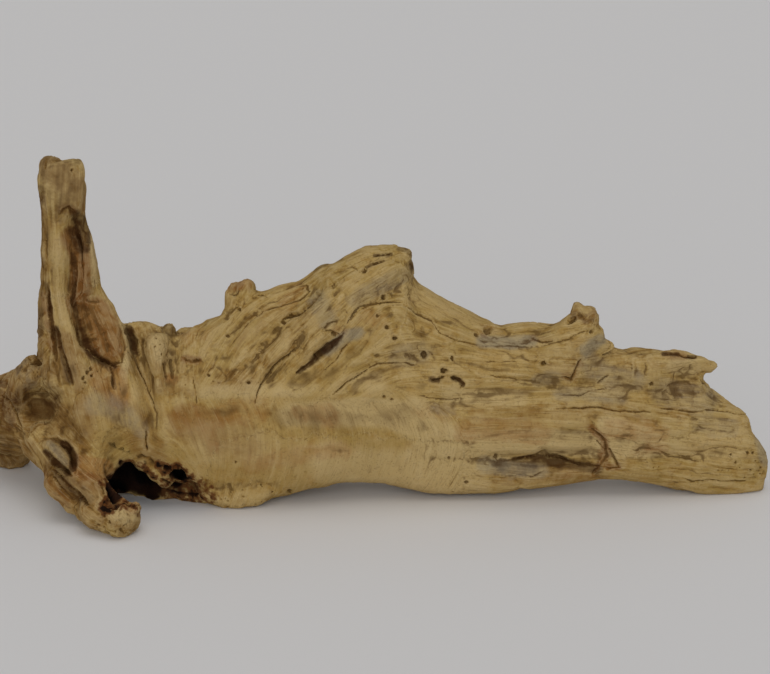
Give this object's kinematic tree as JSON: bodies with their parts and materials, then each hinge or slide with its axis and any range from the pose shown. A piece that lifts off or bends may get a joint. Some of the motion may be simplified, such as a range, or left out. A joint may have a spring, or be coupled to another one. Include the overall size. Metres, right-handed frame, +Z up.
{
  "type": "driftwood",
  "caption": "Weathered driftwood trunk lying on its side, with a root crown, an upright limb and a rotted hollow, used as natural decor in a tank or on a table.",
  "frame": {"origin": "middle of the footprint, on the surface that the driftwood rests on", "axes": "+X along the trunk from the root crown to the thin end, +Y away from the picture's viewer, +Z up"},
  "size_m": [0.8204, 0.2144, 0.3482],
  "materials": {
    "driftwood": "dry, bare, matte"
  },
  "bodies": {
    "root": {"trunk": "driftwood", "upright_limb": "driftwood", "foot_root": "driftwood", "left_root": "driftwood", "branch_stub": "driftwood"}
  },
  "joints": []
}
